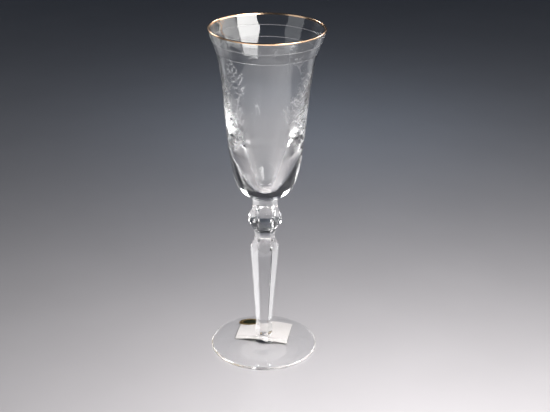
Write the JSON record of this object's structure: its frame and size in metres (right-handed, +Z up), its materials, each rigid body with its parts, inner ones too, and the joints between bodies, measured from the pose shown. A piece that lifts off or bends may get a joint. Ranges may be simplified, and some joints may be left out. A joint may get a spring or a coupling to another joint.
{
  "type": "champagne flute",
  "caption": "Slim trumpet champagne flute in clear crystal with a gilded lip, a faceted stem and knop, and a thin round foot that it stands on.",
  "frame": {"origin": "on the flute's axis, in the plane of the foot's resting ring", "axes": "+Z up the stem to the lip; -Y is the side seen in front; round about Z"},
  "size_m": [0.0754, 0.0754, 0.23],
  "materials": {
    "crystal": "polished clear crystal",
    "gilding": "burnished fired gold",
    "paper": "matt uncoated white paper",
    "foil": "aged gold foil with a dark green oval"
  },
  "bodies": {
    "root": {"bowl": "crystal", "rim_band": "gilding", "stem_neck": "crystal", "knop": "crystal", "stem_waist": "crystal", "stem_shaft": "crystal", "foot_button": "crystal", "foot": "crystal", "paper_label": "paper", "foil_seal": "foil"}
  },
  "joints": []
}
